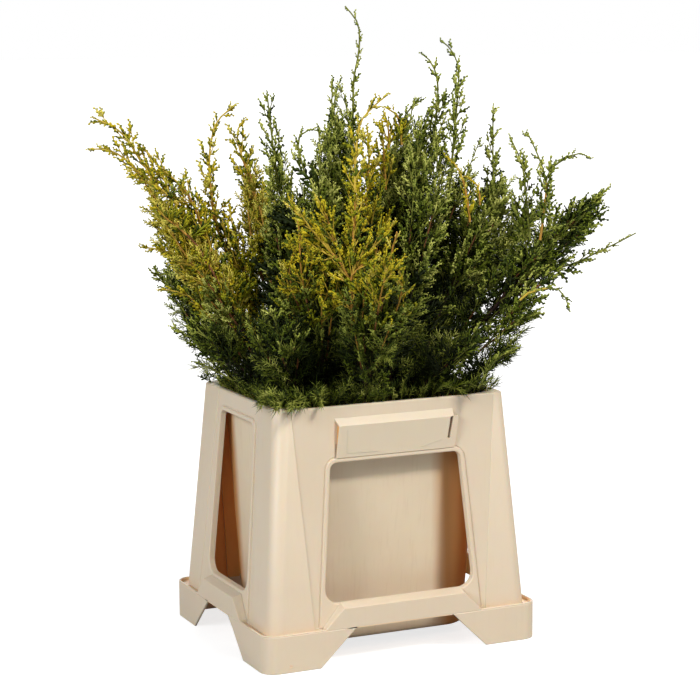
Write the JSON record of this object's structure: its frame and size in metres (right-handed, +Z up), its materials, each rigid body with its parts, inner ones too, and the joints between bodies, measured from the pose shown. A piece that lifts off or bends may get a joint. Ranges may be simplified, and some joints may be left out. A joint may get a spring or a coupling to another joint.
{
  "type": "golden chinese juniper stems in a flower container",
  "caption": "Loose bunch of golden and green Chinese juniper stems standing in a cream moulded flower container with windowed sides and an arched foot band.",
  "frame": {"origin": "middle of the container's footprint, on the ground", "axes": "+Z up, +X to the right along the long face with the card holder, which looks along -Y"},
  "size_m": [0.744, 0.53, 0.85],
  "materials": {
    "container_plastic": "satin moulded",
    "bark": "rough, flaking",
    "golden_foliage": "matte",
    "green_foliage": "matte",
    "dark_foliage": "matte"
  },
  "bodies": {
    "root": {"apron_back": "container_plastic", "apron_front": "container_plastic", "apron_left": "container_plastic", "apron_right": "container_plastic", "card_holder_back": "container_plastic", "card_holder_front": "container_plastic", "foot_back_left": "container_plastic", "foot_back_right": "container_plastic", "foot_front_left": "container_plastic", "foot_front_right": "container_plastic", "inner_bucket": "container_plastic", "mass_back_far_right": "dark_foliage", "mass_back_left": "green_foliage", "mass_back_middle": "dark_foliage", "mass_back_right": "green_foliage", "mass_curl_left": "green_foliage", "mass_dark_left": "green_foliage", "mass_far_left": "golden_foliage", "mass_far_left_lower": "golden_foliage", "mass_golden_front": "golden_foliage", "mass_golden_front_left": "golden_foliage", "mass_golden_left": "golden_foliage", "mass_golden_left_back": "golden_foliage", "mass_golden_middle": "golden_foliage", "mass_leader": "green_foliage", "mass_leaning_right": "green_foliage", "mass_low_far_left": "green_foliage", "mass_low_front_left": "dark_foliage", "mass_low_left": "dark_foliage", "mass_low_right": "dark_foliage", "mass_middle_back": "dark_foliage", "mass_right_bough": "dark_foliage", "mass_right_drooping": "dark_foliage", "mass_right_far_leader": "green_foliage", "mass_right_front_leader": "green_foliage", "mass_right_leader": "dark_foliage", "mass_right_thin": "green_foliage", "mass_tall_back": "green_foliage", "mass_tall_front": "green_foliage", "panel_back": "container_plastic", "panel_front": "container_plastic", "panel_left": "container_plastic", "panel_right": "container_plastic", "pillar_back_left": "container_plastic", "pillar_back_right": "container_plastic", "pillar_front_left": "container_plastic", "pillar_front_right": "container_plastic", "stem_dark_left": "bark", "stem_far_left": "bark", "stem_golden_front_left": "bark", "stem_golden_left": "bark", "stem_golden_middle": "bark", "stem_leader": "bark", "stem_middle_back": "bark", "stem_right_bough": "bark", "stem_right_far_leader": "bark", "stem_right_leader": "bark", "stem_tall_back": "bark", "stem_tall_front": "bark"}
  },
  "joints": []
}
